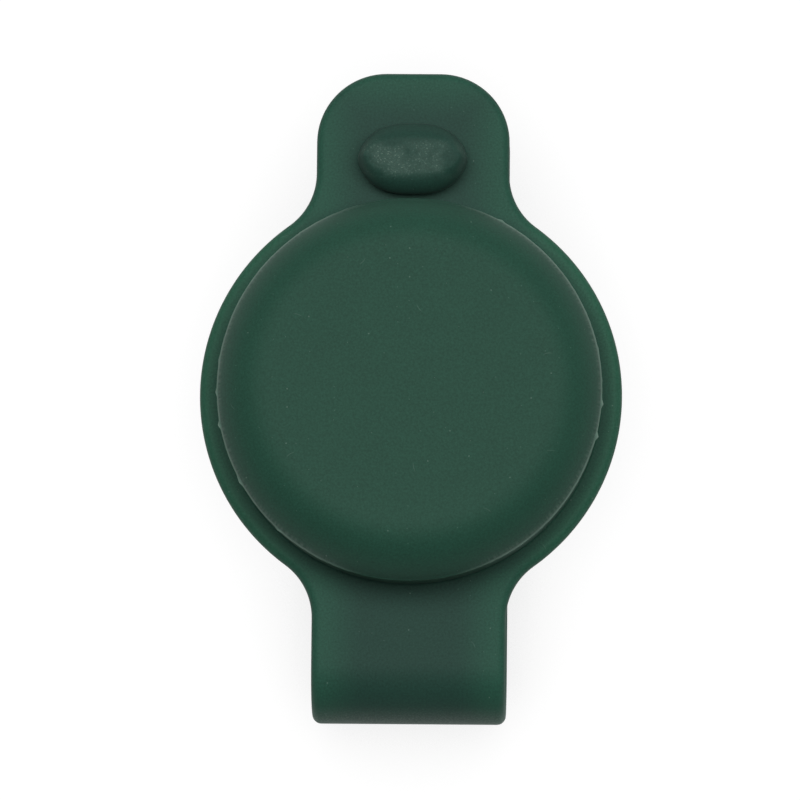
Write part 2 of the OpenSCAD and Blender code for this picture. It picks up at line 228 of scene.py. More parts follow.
bpy.ops.object.mode_set(mode="EDIT")
bpy.ops.mesh.select_all(action="SELECT")
bpy.ops.mesh.edge_face_add()
bpy.ops.mesh.extrude_region_move(TRANSFORM_OT_translate={"value": (0, 0, -STRAP_T)})
bpy.ops.mesh.select_all(action="SELECT")
bpy.ops.mesh.normals_make_consistent(inside=False)
rims = select_edges(at_rim)
bpy.ops.mesh.bevel(offset=EDGE_R, segments=EDGE_SEGMENTS, profile=0.5, clamp_overlap=False)
select_faces(level)
bpy.ops.mesh.inset(thickness=HOLD)
print("bevelled", rims, "edges of the two rims")

# %% [markdown]
# ## Cross cuts
#
# A flat face can't bend. Where the strap will turn in its fold and climb in its rise, plane cuts
# across it give the bend fine even steps. The two big faces of the front run are then taken out,
# to be filled again round the pocket, its mouth and the slot.

# %% Cross cuts where the strap bends
FOLD_CUTS = 44
RISE_CUTS = 40
RISE_START = FOLD_Y - FOLD_LEN - REAR_LEN

cuts = [FOLD_Y - FOLD_LEN * i / FOLD_CUTS for i in range(FOLD_CUTS + 1)]
cuts += [RISE_START - RISE_LEN * i / RISE_CUTS for i in range(RISE_CUTS + 1)]
for place in cuts:
    bpy.ops.mesh.select_all(action="SELECT")
    bpy.ops.mesh.bisect(plane_co=(0, place, 0), plane_no=(0, 1, 0))
select_faces(lambda face: level(face) and len(face.verts) > RING_STEPS)
bpy.ops.mesh.delete(type="ONLY_FACE")
bpy.ops.object.mode_set(mode="OBJECT")
print("the blank has", len(blank.data.polygons), "faces")

# %% [markdown]
# ## The pocket
#
# The pocket is round, so one profile that is spun about the tag's axis gives all of it. The
# outer profile starts at the foot with a small hollow, climbs to the parting line that the two
# halves of the mould leave, and comes over a bevelled shoulder to the flat crown. The shoulder
# is a quarter oval whose sine is raised to a power above one, which makes its lower part a
# slope, and whose cosine is raised to a power below one, which lets it run softly into the
# flat. The inner profile is the mouth, the lip over the tag's bevel and the room for the tag.

# %% Profiles of the pocket
POCKET_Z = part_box("pocket")[1].z
POCKET_R = 17.2 * MM
FACE_R = 12.2 * MM
SHOULDER_BEVEL = 1.7
SHOULDER_EASE = 0.85
SHOULDER_STEPS = 40
FOOT_R = 0.25 * MM
FOOT_STEPS = 8
PARTING_Z = FRONT_Z + 4.2 * MM
RIDGE_H = 0.3 * MM
RIDGE_OUT = 0.12 * MM
TAG_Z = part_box("tag_chassis")[0].z
TAG_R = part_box("tag_chassis")[1].x
TAG_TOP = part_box("tag_cap")[1].z
TAG_SIDE_Z = TAG_Z + 4.8 * MM
TAG_FACE_R = 12.5 * MM
TAG_BEVEL = 1.9 * MM
TAG_STEPS = 12
MOUTH_R = 13.8 * MM
MOUTH_ROUND = 0.15 * MM
ROOM = 0.1 * MM
LIP_Z = TAG_Z + 0.19 * MM


def shoulder(r_out, z_out, r_in, z_in, steps, bevel=1, ease=1):
    """A shoulder from its foot outside to its level end inside. Bevel is the power of the sine
    and ease that of the cosine, and with 1 for both it is a quarter oval."""
    points = []
    for i in range(steps + 1):
        turn = math.pi / 2 * i / steps
        across, up = max(math.cos(turn), 0) ** ease, math.sin(turn) ** bevel
        points.append((r_in + (r_out - r_in) * across, z_out + (z_in - z_out) * up))
    return points


def hollow():
    """The fillet at the pocket's foot, from the strap's face up to the wall."""
    turns = [math.pi / 2 * i / FOOT_STEPS for i in range(FOOT_STEPS + 1)]
    return [(POCKET_R + FOOT_R * (1 - math.sin(turn)), FRONT_Z + FOOT_R * (1 - math.cos(turn)))
            for turn in turns]


outside = [(POCKET_R + FOOT_R + HOLD, FRONT_Z)] + hollow()
outside += [(POCKET_R, PARTING_Z - RIDGE_H), (POCKET_R + RIDGE_OUT, PARTING_Z - RIDGE_H / 2)]
outside += shoulder(POCKET_R, PARTING_Z, FACE_R, POCKET_Z,
                    SHOULDER_STEPS, SHOULDER_BEVEL, SHOULDER_EASE)
outside += [(FACE_R - HOLD, POCKET_Z), (0, POCKET_Z)]
inside = [(MOUTH_R + MOUTH_ROUND + HOLD, BACK_Z), (MOUTH_R + MOUTH_ROUND, BACK_Z),
          (MOUTH_R, BACK_Z + MOUTH_ROUND), (MOUTH_R, LIP_Z),
          (TAG_R + ROOM, TAG_Z + TAG_BEVEL - ROOM)]
inside += shoulder(TAG_R + ROOM, TAG_SIDE_Z, TAG_FACE_R, TAG_TOP + ROOM, TAG_STEPS)
inside += [(0, TAG_TOP + ROOM)]
print("profile points:", len(outside), "outside,", len(inside), "inside")

# %% Spin the profiles
SPIN_STEPS = 256


def spun(name, profile):
    """Draws a profile of radius and height, and spins it about the tag's axis."""
    obj = start_pen(name, profile[0][0], 0, profile[0][1])
    for r, z in profile[1:]:
        line_to(r, 0, z)
    bpy.ops.mesh.select_all(action="SELECT")
    bpy.ops.mesh.spin(steps=SPIN_STEPS, angle=2 * math.pi, center=(0, 0, 0), axis=(0, 0, 1))
    close_pen()
    bpy.ops.object.mode_set(mode="OBJECT")
    return obj


outer = spun("pocket_outside", outside)
inner = spun("pocket_inside", inside)
print("pocket faces:", len(outer.data.polygons), "outside,", len(inner.data.polygons), "inside")

# %% [markdown]
# ## Flash on the parting line
#
# Where the mould's halves meet, a thin skin of silicone is trimmed off and leaves a ragged
# bright line with a few longer nicks. The ridge's vertices are moved in or out along their
# radius by a noise that goes round the pocket, which no modifier does as simply.

# %% Ragged parting line
FLASH = 0.03 * MM
FLASH_GRAIN = 0.6 * MM
NICK_DEGREES = 0.7
# Each nick's place round the pocket in degrees, and its height in millimetres
NICKS = [(172, 0.1), (181, 0.16), (191, 0.22), (209, 0.24), (228, 0.1),
         (-4, 0.18), (-14, 0.22), (12, 0.1), (62, 0.1)]

moved = 0
for v in outer.data.vertices:
    r = math.hypot(v.co.x, v.co.y)
    if r > POCKET_R + RIDGE_OUT / 2 and v.co.z > FRONT_Z + FOOT_R:
        turn = math.degrees(math.atan2(v.co.y, v.co.x))
        grow = FLASH * noise.noise(Vector((v.co.x, v.co.y, 0)) / FLASH_GRAIN)
        for place, height in NICKS:
            off = (turn - place + 180) % 360 - 180
            grow += height * MM * math.exp(-((off / NICK_DEGREES) ** 2))
        v.co.x *= 1 + grow / r
        v.co.y *= 1 + grow / r
        moved += 1
print("moved", moved, "points of the ridge")

# %% [markdown]
# ## The slot
#
# The slot is a stadium, a hair wider than the button's neck. Six outlines of it, two at each
# rounded rim and one for each narrow flat beside it, are bridged into its wall.

# %% Wall of the slot
BUTTON_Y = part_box("button_stud")[0].y / 2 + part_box("button_stud")[1].y / 2
SLOT_HALF = 3.05 * MM
SLOT_R = 1.55 * MM
SLOT_ROUND = 0.2 * MM
SLOT_STEPS = 16


def activate(obj):
    """Selects one object alone, so that the next operator acts on it."""
    deselect()
    obj.select_set(True)
    bpy.context.view_layer.objects.active = obj


def slot_outline(grow, z):
    reach = SLOT_HALF - SLOT_R
    loop = start_pen("slot", reach, BUTTON_Y - SLOT_R - grow, z)
    arc_round((reach, BUTTON_Y, z), 180, SLOT_STEPS)
    line_to(-reach, BUTTON_Y + SLOT_R + grow, z)
    arc_round((-reach, BUTTON_Y, z), 180, SLOT_STEPS)
    line_to(reach, BUTTON_Y - SLOT_R - grow, z)
    close_pen()
    bpy.ops.object.mode_set(mode="OBJECT")
    return loop


def joined(pieces):
    activate(pieces[0])
    for piece in pieces:
        piece.select_set(True)
    bpy.ops.object.join()
    return pieces[0]


def bridged(loops):
    """Bridges neighbouring outlines one pair at a time and joins the strips."""
    strips = []
    for low, high in zip(loops, loops[1:]):
        pair = []
        for loop in (low, high):
            activate(loop)
            bpy.ops.object.duplicate()
            pair.append(bpy.context.object)
        strip = joined(pair)
        bpy.ops.object.mode_set(mode="EDIT")
        bpy.ops.mesh.select_all(action="SELECT")
        bpy.ops.mesh.bridge_edge_loops()
        bpy.ops.object.mode_set(mode="OBJECT")
        strips.append(strip)
    for loop in loops:
        bpy.data.objects.remove(loop)
    return joined(strips)


slot_wall = bridged([slot_outline(grow, z) for grow, z in [
    (SLOT_ROUND + HOLD, FRONT_Z), (SLOT_ROUND, FRONT_Z), (0, FRONT_Z - SLOT_ROUND),
    (0, BACK_Z + SLOT_ROUND), (SLOT_ROUND, BACK_Z), (SLOT_ROUND + HOLD, BACK_Z)]])
print("the slot's wall has", len(slot_wall.data.polygons), "faces")

# %% [markdown]
# ## One closed moulding
#
# The strap, both sides of the pocket and the slot's wall are joined. What is still open lies in
# two level planes, the strap's front and its back, so one fill in each plane closes them with
# the holes left where they belong. An edge with one face would mean a leak, so they are counted.

# %% Join the pieces and fill the two faces round their holes
moulding = joined([blank, outer, inner, slot_wall])
bpy.ops.object.mode_set(mode="EDIT")
close_pen()
for height in (FRONT_Z, BACK_Z):
    select_edges(lambda edge: len(edge.link_faces) == 1
                 and all(abs(v.co.z - height) < HOLD / 2 for v in edge.verts))
    bpy.ops.mesh.fill(use_beauty=True)
bpy.ops.mesh.select_all(action="SELECT")
bpy.ops.mesh.normals_make_consistent(inside=False)
open_edges = select_edges(lambda edge: len(edge.link_faces) != 2)
bpy.ops.object.mode_set(mode="OBJECT")
print("moulding:", len(moulding.data.polygons), "faces,", open_edges, "open edges")

# %% [markdown]
# ## Wrap the blank
#
# Each point keeps its distance along the strap and its height in the strap's thickness. Past
# the fold's start, the first becomes a turn about the fold's axis, then a straight run, then two
# opposite turns that lift the tongue. Its place in the flat blank is stored first, as an
# attribute, so that the grain of the silicone follows the strap round its bends. The strap is
# cut in two on its rear run, into a front skin and a rear one.

# %% Remember the flat place, then wrap
REAR_SEAM_Y = -9 * MM
REAR_SEAM = FOLD_Y - FOLD_LEN - (REAR_SEAM_Y - FOLD_Y)


def remember_blank(obj):
    flat = obj.data.attributes.new("blank", "FLOAT_VECTOR", "POINT")
    for v, entry in zip(obj.data.vertices, flat.data):
        entry.vector = v.co / MM


def wrapped(y, z):
    """The place, along the strap and in its thickness, of a point of the blank past the fold."""
    gone = FOLD_Y - y
    if gone <= FOLD_LEN:
        turn, reach = gone / FOLD_R, z - FOLD_AXIS_Z
        return FOLD_Y - reach * math.sin(turn), FOLD_AXIS_Z + reach * math.cos(turn)
    gone -= FOLD_LEN
    height = FRONT_Z - z
    if gone <= REAR_LEN:
        return FOLD_Y + gone, height
    gone -= REAR_LEN
    middle = height - STRAP_T / 2
    if gone <= RISE_LEN / 2:
        turn, reach = gone / RISE_R, RISE_R - middle
        return RISE_Y + reach * math.sin(turn), STRAP_T / 2 + RISE_R - reach * math.cos(turn)
    gone -= RISE_LEN
    if gone <= 0:
        turn, reach = -gone / RISE_R, RISE_R + middle
        lift = TONGUE_Z + STRAP_T / 2 - RISE_R
        return TONGUE_Y - reach * math.sin(turn), lift + reach * math.cos(turn)
    return TONGUE_Y + gone, TONGUE_Z + height


def wrap(obj):
    for v in obj.data.vertices:
        if v.co.y < FOLD_Y:
            v.co.y, v.co.z = wrapped(v.co.y, v.co.z)


def cut_off(obj, place, keep_front):
    """Cuts a piece straight across the blank and closes the cut."""
    activate(obj)
    bpy.ops.object.mode_set(mode="EDIT")
    bpy.ops.mesh.select_all(action="SELECT")
    bpy.ops.mesh.bisect(plane_co=(0, place, 0), plane_no=(0, 1, 0), use_fill=True,
                        clear_inner=keep_front, clear_outer=not keep_front)
    bpy.ops.object.mode_set(mode="OBJECT")


def smooth(obj, degrees):
    """Shades smoothly all edges that turn by less than this angle."""
    activate(obj)
    bpy.ops.object.shade_smooth_by_angle(angle=math.radians(degrees))


remember_blank(moulding)
rear = moulding.copy()
rear.data = moulding.data.copy()
rear.name = "moulding_rear"
bpy.context.scene.collection.objects.link(rear)
moulding.name = "moulding_front"
cut_off(moulding, REAR_SEAM, True)
cut_off(rear, REAR_SEAM, False)
for piece in (moulding, rear):
    wrap(piece)
    smooth(piece, degrees=35)
    low = [min(v.co[i] for v in piece.data.vertices) / MM for i in range(3)]
    high = [max(v.co[i] for v in piece.data.vertices) / MM for i in range(3)]
    print(piece.name, [round(value, 2) for value in low + high])

# %% [markdown]
# ## The button
#
# The button is a pillow, pointed a little at its left and right ends, on a neck that rises from
# the tongue. One outline is extruded upwards and resized step by step, which keeps its points
# in even rings: out from under the head, round its belly and over to the crown. The outline is
# a circle whose rise is squared off, so that its long sides are nearly straight.

# %% Outline of the button
HEAD_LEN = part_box("button_stud")[1].x * 2
HEAD_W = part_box("button_stud")[1].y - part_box("button_stud")[0].y
HEAD_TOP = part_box("button_stud")[1].z
HEAD_SQUARE = 2.8
HEAD_POINT = 0.65
HEAD_POINTS = 128
TONGUE_TOP = TONGUE_Z + STRAP_T

deselect()
bpy.ops.mesh.primitive_circle_add(vertices=HEAD_POINTS, radius=1,
                                  location=(0, BUTTON_Y, TONGUE_TOP))
button = bpy.context.object
button.name = "button"
for v in button.data.vertices:
    across, rise = v.co.x, v.co.y
    rise = math.copysign(max(1 - abs(across) ** HEAD_SQUARE, 0) ** HEAD_POINT, rise)
    v.co.x, v.co.y = across / 2, rise / 2
bpy.ops.object.transform_apply(location=True, rotation=False, scale=False)
print("button outline:", len(button.data.vertices), "points")

# %% The button's neck and head
BASE_Z = TONGUE_TOP - HOLD
HEAD_H = 2.8 * MM
HEAD_Z = HEAD_TOP - HEAD_H
HEAD_BELLY = 0.9 * MM
HEAD_UNDERCUT = 0.55 * MM
HEAD_BEVEL = 1.3
CROWN_W = 3.0 * MM
CROWN_RISE = 0.12 * MM
END_SHARE = 0.4
NECK_LEN = 5.6 * MM
NECK_W = 2.6 * MM
NECK_FLARE = 0.35 * MM


def pillow_levels(belly_steps=8, slope_steps=20, crown_steps=6):
    """How far each ring lies inside the head's outline and its height, from the underside up."""
    slope_w = (HEAD_W - CROWN_W) / 2
    slope_h = HEAD_H - HEAD_BELLY - CROWN_RISE
    levels = []
    for i in range(belly_steps + 1):
        a = math.pi / 2 * i / belly_steps
        levels.append((HEAD_UNDERCUT * (1 - math.sin(a)), HEAD_BELLY * (1 - math.cos(a))))
    for i in range(1, slope_steps + 1):
        a = math.pi / 2 * i / slope_steps
        levels.append((slope_w * (1 - max(math.cos(a), 0) ** HEAD_BEVEL),
                       HEAD_BELLY + slope_h * math.sin(a) ** HEAD_BEVEL))
    for i in range(1, crown_steps):
        share = i / crown_steps
        levels.append((slope_w + CROWN_W / 2 * share, HEAD_H - CROWN_RISE * (1 - share) ** 2))
    return levels


def ring_up(length, width, z, last):
    """Extrudes the selected ring to a new length, width and height."""
    bpy.ops.mesh.extrude_region_move(TRANSFORM_OT_translate={"value": (0, 0, z - last[2])})
    bpy.ops.transform.resize(value=(length / last[0], width / last[1], 1),
                             center_override=(0, BUTTON_Y, z))
    return length, width, z


rings = [(NECK_LEN + 2 * NECK_FLARE, NECK_W + 2 * NECK_FLARE, BASE_Z),
         (NECK_LEN + 2 * NECK_FLARE, NECK_W + 2 * NECK_FLARE, BASE_Z + HOLD),
         (NECK_LEN, NECK_W, BASE_Z + HOLD + NECK_FLARE),
         (NECK_LEN, NECK_W, HEAD_Z - NECK_FLARE / 2),
         (NECK_LEN + NECK_FLARE, NECK_W + NECK_FLARE, HEAD_Z)]
rings += [(HEAD_LEN - 2 * END_SHARE * inset, HEAD_W - 2 * inset, HEAD_Z + rise)
          for inset, rise in pillow_levels()]

bpy.ops.object.mode_set(mode="EDIT")
bpy.ops.mesh.select_mode(type="VERT")
bpy.ops.mesh.select_all(action="SELECT")
bpy.ops.transform.translate(value=(0, 0, -HOLD))
bpy.ops.transform.resize(value=(rings[0][0], rings[0][1], 1), center_override=(0, BUTTON_Y, BASE_Z))
bpy.ops.mesh.edge_face_add()
last = rings[0]
for length, width, z in rings[1:]:
    last = ring_up(length, width, z, last)
bpy.ops.mesh.select_all(action="SELECT")
bpy.ops.mesh.normals_make_consistent(inside=False)
bpy.ops.object.mode_set(mode="OBJECT")
smooth(button, degrees=50)
remember_blank(button)
print("button:", len(button.data.polygons), "faces, top at", round(HEAD_TOP / MM, 2), "mm")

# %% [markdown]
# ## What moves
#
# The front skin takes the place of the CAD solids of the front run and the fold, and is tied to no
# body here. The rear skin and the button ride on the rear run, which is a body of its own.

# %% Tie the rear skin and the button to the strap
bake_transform(moulding)
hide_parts("pocket", "button_tab", "front_strap", "fold_front", "fold_rear")
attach(rear, "strap")
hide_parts("rear_strap", "rear_rise", "tongue")
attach(button, "strap")
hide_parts("button_stud")

# %% [markdown]
# ## Finishes
#
# Colours are written as sRGB hex values and turned to linear by one function. One small function
# adds a node with its settings and links, so each finish reads as a list of what it is made of.

# %% Helpers for finishes
def linear(code):
    values = [int(code[i:i + 2], 16) / 255 for i in (1, 3, 5)]
    return tuple(v / 12.92 if v <= 0.04045 else ((v + 0.055) / 1.055) ** 2.4
                 for v in values) + (1,)


def new_finish(name, colour, roughness, metallic=0.0, **more):
    """A material with its shader set up. More settings name the shader's own sockets."""
    material = bpy.data.materials.new(name)
    material.use_nodes = True
    shader = material.node_tree.nodes["Principled BSDF"]
    shader.inputs["Base Color"].default_value = linear(colour)
    shader.inputs["Roughness"].default_value = roughness
    shader.inputs["Metallic"].default_value = metallic
    for socket, value in more.items():
        shader.inputs[socket.replace("_", " ")].default_value = value
    return material, material.node_tree, shader


def add(tree, kind, *values, **more):
    """Adds a node and gives its outputs. Values and sockets fill its inputs in order. A name
    that starts small sets an option, one that starts with a capital fills the input of that
    name, and _6 fills the input at place 6."""
    node = tree.nodes.new("ShaderNode" + kind)
    inputs = dict(enumerate(values))
    for name, value in more.items():
        if name[0].islower():
            setattr(node, name, value)
        else:
            inputs[int(name[1:]) if name[0] == "_" else name.replace("_", " ")] = value
    for place, value in inputs.items():
        if isinstance(value, bpy.types.NodeSocket):
            tree.links.new(value, node.inputs[place])
        else:
            node.inputs[place].default_value = value
    return node.outputs


def from_axis(tree, x, y):
    """The distance from the upright axis through the middle of the pocket and the tag."""
    level_place = add(tree, "CombineXYZ", x, y, 0.0)[0]
    return add(tree, "VectorMath", level_place, operation="LENGTH")["Value"]


def dress(obj, material):
    obj.data.materials.clear()
    obj.data.materials.append(material)


print("the hex grey #808080 is", round(linear("#808080")[0], 3), "in linear light")

# %% [markdown]
# ## Silicone
#
# The holder is silicone rubber, dyed dark green and pressed in a mould with a blasted surface.
# The blasting gives a matte, slightly greyish sheen with a fine grain. The rubber lets a little
# light through, and that light is painted into the tones: the strap's outer five millimetres get a
# greener tone, painted light through its edges, its middle a dull tone, painted shade where less
# light comes through, and the free ring round the pocket the greenest tone, painted light through
# the thin ring. The pocket keeps the plain tone. A dull line at the pocket's foot is painted shade
# in the corner.

# %% Tones of the silicone, with painted light and shade
SILICONE = "#20493a"
# The edge tone is painted light through the rubber, the dull tone painted shade, and the ring tone
# painted light through the thin ring
SILICONE_LIT_EDGE = "#255141"
SILICONE_SHADED = "#204137"
SILICONE_LIT_RING = "#2b5b47"
SILICONE_PALE = "#7f9a8d"
EDGE_GLOW_MM = 5.0
RING_GLOW_MM = 4.0
# Painted shade: a darker line on the strap next to the pocket's foot, where the corner lies in
# shade
FOOT_SHADE_MM = (0.2, 1.5)
FOOT_SHADE_SHARE = 0.6
# Below this height the silicone is strap, and above it pocket or button
STRAP_BELOW_MM = FRONT_Z / MM + 0.3


def silicone_tones_and_light(tree, worn, x, y, z, radius):
    """The silicone's tone at each place of the flat blank, in millimetres, with painted light
    through the edges and the ring and painted shade in the middle and at the pocket's foot.
    """
    off_middle = add(tree, "Math", x, operation="ABSOLUTE")[0]
    side = add(tree, "Math", HALF_W / MM, off_middle, operation="SUBTRACT")[0]
    to_end = add(tree, "Math", TAB_Y / MM, y, operation="SUBTRACT")[0]
    in_ring = add(tree, "Math", RING_R / MM, radius, operation="SUBTRACT")[0]
    rim = add(tree, "Math", side, to_end, operation="MINIMUM")[0]
    rim = add(tree, "Math", rim, in_ring, operation="MAXIMUM")[0]
    shaded_middle = add(tree, "MapRange", rim, 0.0, EDGE_GLOW_MM, interpolation_type="SMOOTHSTEP")[0]
    lit_ring = add(tree, "MapRange", side, 0.0, -RING_GLOW_MM, interpolation_type="SMOOTHSTEP")[0]
    foot_shade = add(tree, "MapRange", radius, POCKET_R / MM + FOOT_SHADE_MM[1], POCKET_R / MM + FOOT_SHADE_MM[0],
                  0.0, FOOT_SHADE_SHARE, interpolation_type="SMOOTHSTEP")[0]
    on_strap = add(tree, "Math", z, STRAP_BELOW_MM, operation="LESS_THAN")[0]
    # A worn piece starts from the darker tone
    colour = linear(SILICONE_SHADED if worn else SILICONE)
    # Painted light at the edges and the ring, painted shade in the middle and at the pocket's foot
    for share, tone in ((1.0, SILICONE_LIT_EDGE), (shaded_middle, SILICONE_SHADED), (lit_ring, SILICONE_LIT_RING),
                        (foot_shade, SILICONE_SHADED)):
        share = add(tree, "Math", share, on_strap, operation="MULTIPLY")[0]
        colour = add(tree, "Mix", share, data_type="RGBA", _6=colour, _7=linear(tone))[2]
    return colour


print("the strap looks greener up to", EDGE_GLOW_MM, "mm from its edges")

# %% [markdown]
# ## Marks on the silicone
#
# Silicone picks up dust, hairs and fine scratches. They could be painted by hand, but a cell
# pattern scatters them as chance does: each cell may hold one short bent line at an angle of its
# own, and a line as short as it is wide is a speck.

# %% Scratches and specks
# Cells in a millimetre, half a mark's length and width in millimetres, share of cells with one
DUST = (0.55, 0.08, 0.08, 0.08)
FINE_DUST = (0.9, 0.05, 0.05, 0.12)
HAIRS = (0.17, 0.45, 0.05, 0.35)
SPECKS = (3.2, 0.11, 0.08, 0.3)
STROKES = (1.1, 0.25, 0.06, 0.25)
CRUMBS_PER_MM = 6.0


def marks(tree, place, per_mm, half_length, half_width, share):
    """One mark in the chosen share of cells. It is 1 where the mark is and 0 beside it."""
    cells = add(tree, "TexVoronoi", voronoi_dimensions="2D", Vector=place, Scale=per_mm)
    chance, turn, bend = add(tree, "SeparateXYZ", cells["Color"])
    angle = add(tree, "Math", turn, 2 * math.pi, operation="MULTIPLY")[0]
    local = add(tree, "VectorMath", place, cells["Position"], operation="SUBTRACT")[0]
    local = add(tree, "VectorRotate", rotation_type="Z_AXIS", Vector=local, Angle=angle)[0]
    along, across, _ = add(tree, "SeparateXYZ", local)
    square = add(tree, "Math", along, along, operation="MULTIPLY")[0]
    bend = add(tree, "Math", bend, 0.5, operation="SUBTRACT")[0]
    bow = add(tree, "Math", square, bend, operation="MULTIPLY")[0]
    off = add(tree, "Math", across, bow, operation="SUBTRACT")[0]
    off = add(tree, "Math", off, operation="ABSOLUTE")[0]
    far = add(tree, "Math", along, operation="ABSOLUTE")[0]
    mark = add(tree, "Math", chance, share, operation="LESS_THAN")[0]
    for distance, edge, core in ((off, half_width, 0.0), (far, half_length, half_length / 2)):
        near = add(tree, "MapRange", distance, edge, core)[0]
        mark = add(tree, "Math", mark, near, operation="MULTIPLY")[0]
    return mark


def crumbs(tree, place):
    """Ground dust, in crumbs of a few tenths of a millimetre."""
    cloud = add(tree, "TexNoise", Vector=place, Scale=CRUMBS_PER_MM, Detail=2.0, Roughness=0.9)[0]
    return add(tree, "MapRange", cloud, 0.45, 0.85)[0]


print("a hair is", 2 * HAIRS[1], "mm long, and a speck of the rub", 2 * SPECKS[1], "mm")

# %% [markdown]
# ## The trimmed parting line and the dusty fold, with painted highlight and reflection
#
# The flash on the parting line is trimmed with a blade, which leaves the ridge pale and the wall
# beside it streaked. The pale line is painted highlight at the pocket's left and right, where
# light catches the ridge, and it fades away towards the strap above and below the pocket. The
# fold's outside is what the holder lands on, so dust crumbs sit on its crest, and a pale band
# along the crest between them is a painted reflection.

# %% Parting line and fold
# The ridge's paleness is partly trimmed flash and partly painted highlight
RIDGE_PALE = 0.8
STREAK_PALE = 0.3
STREAKS_PER_MM = 3.0
STREAK_MM = (0.1, 0.9)
LINE_LIT_MM = (4.0, 9.0)
CREST_MM = (0.8, 3.2)
CREST_PALE = 0.55
# Painted reflection: an even pale band along the crest between the dust crumbs
CREST_REFLECTION = 0.3
# The fold's outside is what lies above this height of the flat blank
OUTSIDE_ABOVE_MM = FRONT_Z / MM - 0.5


def lit_parting_line(tree, x, y, z):
    from_ridge = add(tree, "Math", z, (PARTING_Z - RIDGE_H / 2) / MM, operation="SUBTRACT")[0]
    from_ridge = add(tree, "Math", from_ridge, operation="ABSOLUTE")[0]
    ridge = add(tree, "MapRange", from_ridge, RIDGE_H / MM, 0.0, 0.0, RIDGE_PALE)[0]
    beside = add(tree, "MapRange", from_ridge, STREAK_MM[1], STREAK_MM[0], 0.0, STREAK_PALE)[0]
    turn = add(tree, "Math", y, x, operation="ARCTAN2")[0]
    round_pocket = add(tree, "Math", turn, POCKET_R / MM, operation="MULTIPLY")[0]
    streaks = add(tree, "TexNoise", noise_dimensions="1D",
                  W=round_pocket, Scale=STREAKS_PER_MM, Detail=2.0)[0]
    streaks = add(tree, "MapRange", streaks, 0.35, 0.7)[0]
    streaks = add(tree, "Math", streaks, beside, operation="MULTIPLY")[0]
    line = add(tree, "Math", ridge, streaks, operation="MAXIMUM")[0]
    # Painted highlight: the pale line is kept at the pocket's left and right, where light catches
    # the ridge
    off_middle = add(tree, "Math", x, operation="ABSOLUTE")[0]
    lit_sides = add(tree, "MapRange", off_middle, LINE_LIT_MM[0], LINE_LIT_MM[1])[0]
    return add(tree, "Math", line, lit_sides, operation="MULTIPLY")[0]


def dust_and_reflection_on_fold(tree, place, y, z):
    from_crest = add(tree, "Math", y, (FOLD_Y - FOLD_LEN / 2) / MM, operation="SUBTRACT")[0]
    from_crest = add(tree, "Math", from_crest, operation="ABSOLUTE")[0]
    crest = add(tree, "MapRange", from_crest, CREST_MM[1], CREST_MM[0],
                interpolation_type="SMOOTHSTEP")[0]
    outer_face = add(tree, "Math", z, OUTSIDE_ABOVE_MM, operation="GREATER_THAN")[0]
    # Dust crumbs on the crest, lifted by an even painted reflection between them
    dust = add(tree, "Math", crumbs(tree, place), CREST_REFLECTION, operation="ADD")[0]
    dust = add(tree, "Math", dust, crest, operation="MULTIPLY")[0]
    return add(tree, "Math", dust, outer_face, operation="MULTIPLY")[0]


print("the parting line is", round((PARTING_Z - FRONT_Z) / MM, 1), "mm above the strap's face")

# %% [markdown]
# ## The rubbed button
#
# The button's crown is rubbed where it is pushed through the slot. The rub is a patch in the
# middle of the crown, uneven in itself, with bright specks, crumbs and short strokes in it.

# %% Rubbed crown
RUB_Y = BUTTON_Y - 0.3 * MM
RUB_MM = (0.9, 2.1)
RUB_FULL_Z = HEAD_TOP - 0.4 * MM
RUB_CLOUDS_PER_MM = 0.45
# The haze is a mark that is everywhere in the rub
HAZE = 1.0


def rubbed_crown(tree, place, y, z):
    """Pairs of a mark inside the rub and how pale that mark is."""
    patch = add(tree, "TexNoise", Vector=place, Scale=RUB_CLOUDS_PER_MM, Detail=2.0)[0]
    patch = add(tree, "MapRange", patch, 0.35, 0.6)[0]
    from_middle = add(tree, "Math", y, RUB_Y / MM, operation="SUBTRACT")[0]
    from_middle = add(tree, "Math", from_middle, operation="ABSOLUTE")[0]
    for distance, edge, core in ((z, (HEAD_Z + HEAD_BELLY) / MM, RUB_FULL_Z / MM),
                                 (from_middle, RUB_MM[1], RUB_MM[0])):
        near = add(tree, "MapRange", distance, edge, core, interpolation_type="SMOOTHSTEP")[0]
        patch = add(tree, "Math", patch, near, operation="MULTIPLY")[0]
    pairs = []
    for mark, strength in ((marks(tree, place, *SPECKS), 0.5), (crumbs(tree, place), 0.5),
                           (marks(tree, place, *STROKES), 0.3), (HAZE, 0.1)):
        pairs.append((add(tree, "Math", patch, mark, operation="MULTIPLY")[0], strength))
    return pairs


print("the rub is", 2 * RUB_MM[1], "mm wide at most")

# %% [markdown]
# ## The finished silicone
#
# The tones are shaded by broad soft clouds, because the pigment is mixed unevenly, and by the
# grain of the blasted mould. The real grain is finer than the picture's pixels, so it is drawn
# as coarse as it needs to show. The palest mark at each place wins, and mixes in a pale dusty
# green, which is dust on the specks and hairs and painted highlight on the lit parting line and
# the fold's crest.

# %% Moulded silicone
CLOUDS_PER_MM = 0.22
CLOUD_DEPTH = 0.12
GRAIN_PER_MM = 5.0
GRAIN_DEPTH = 1.1
GRAIN_RELIEF = 0.012 * MM


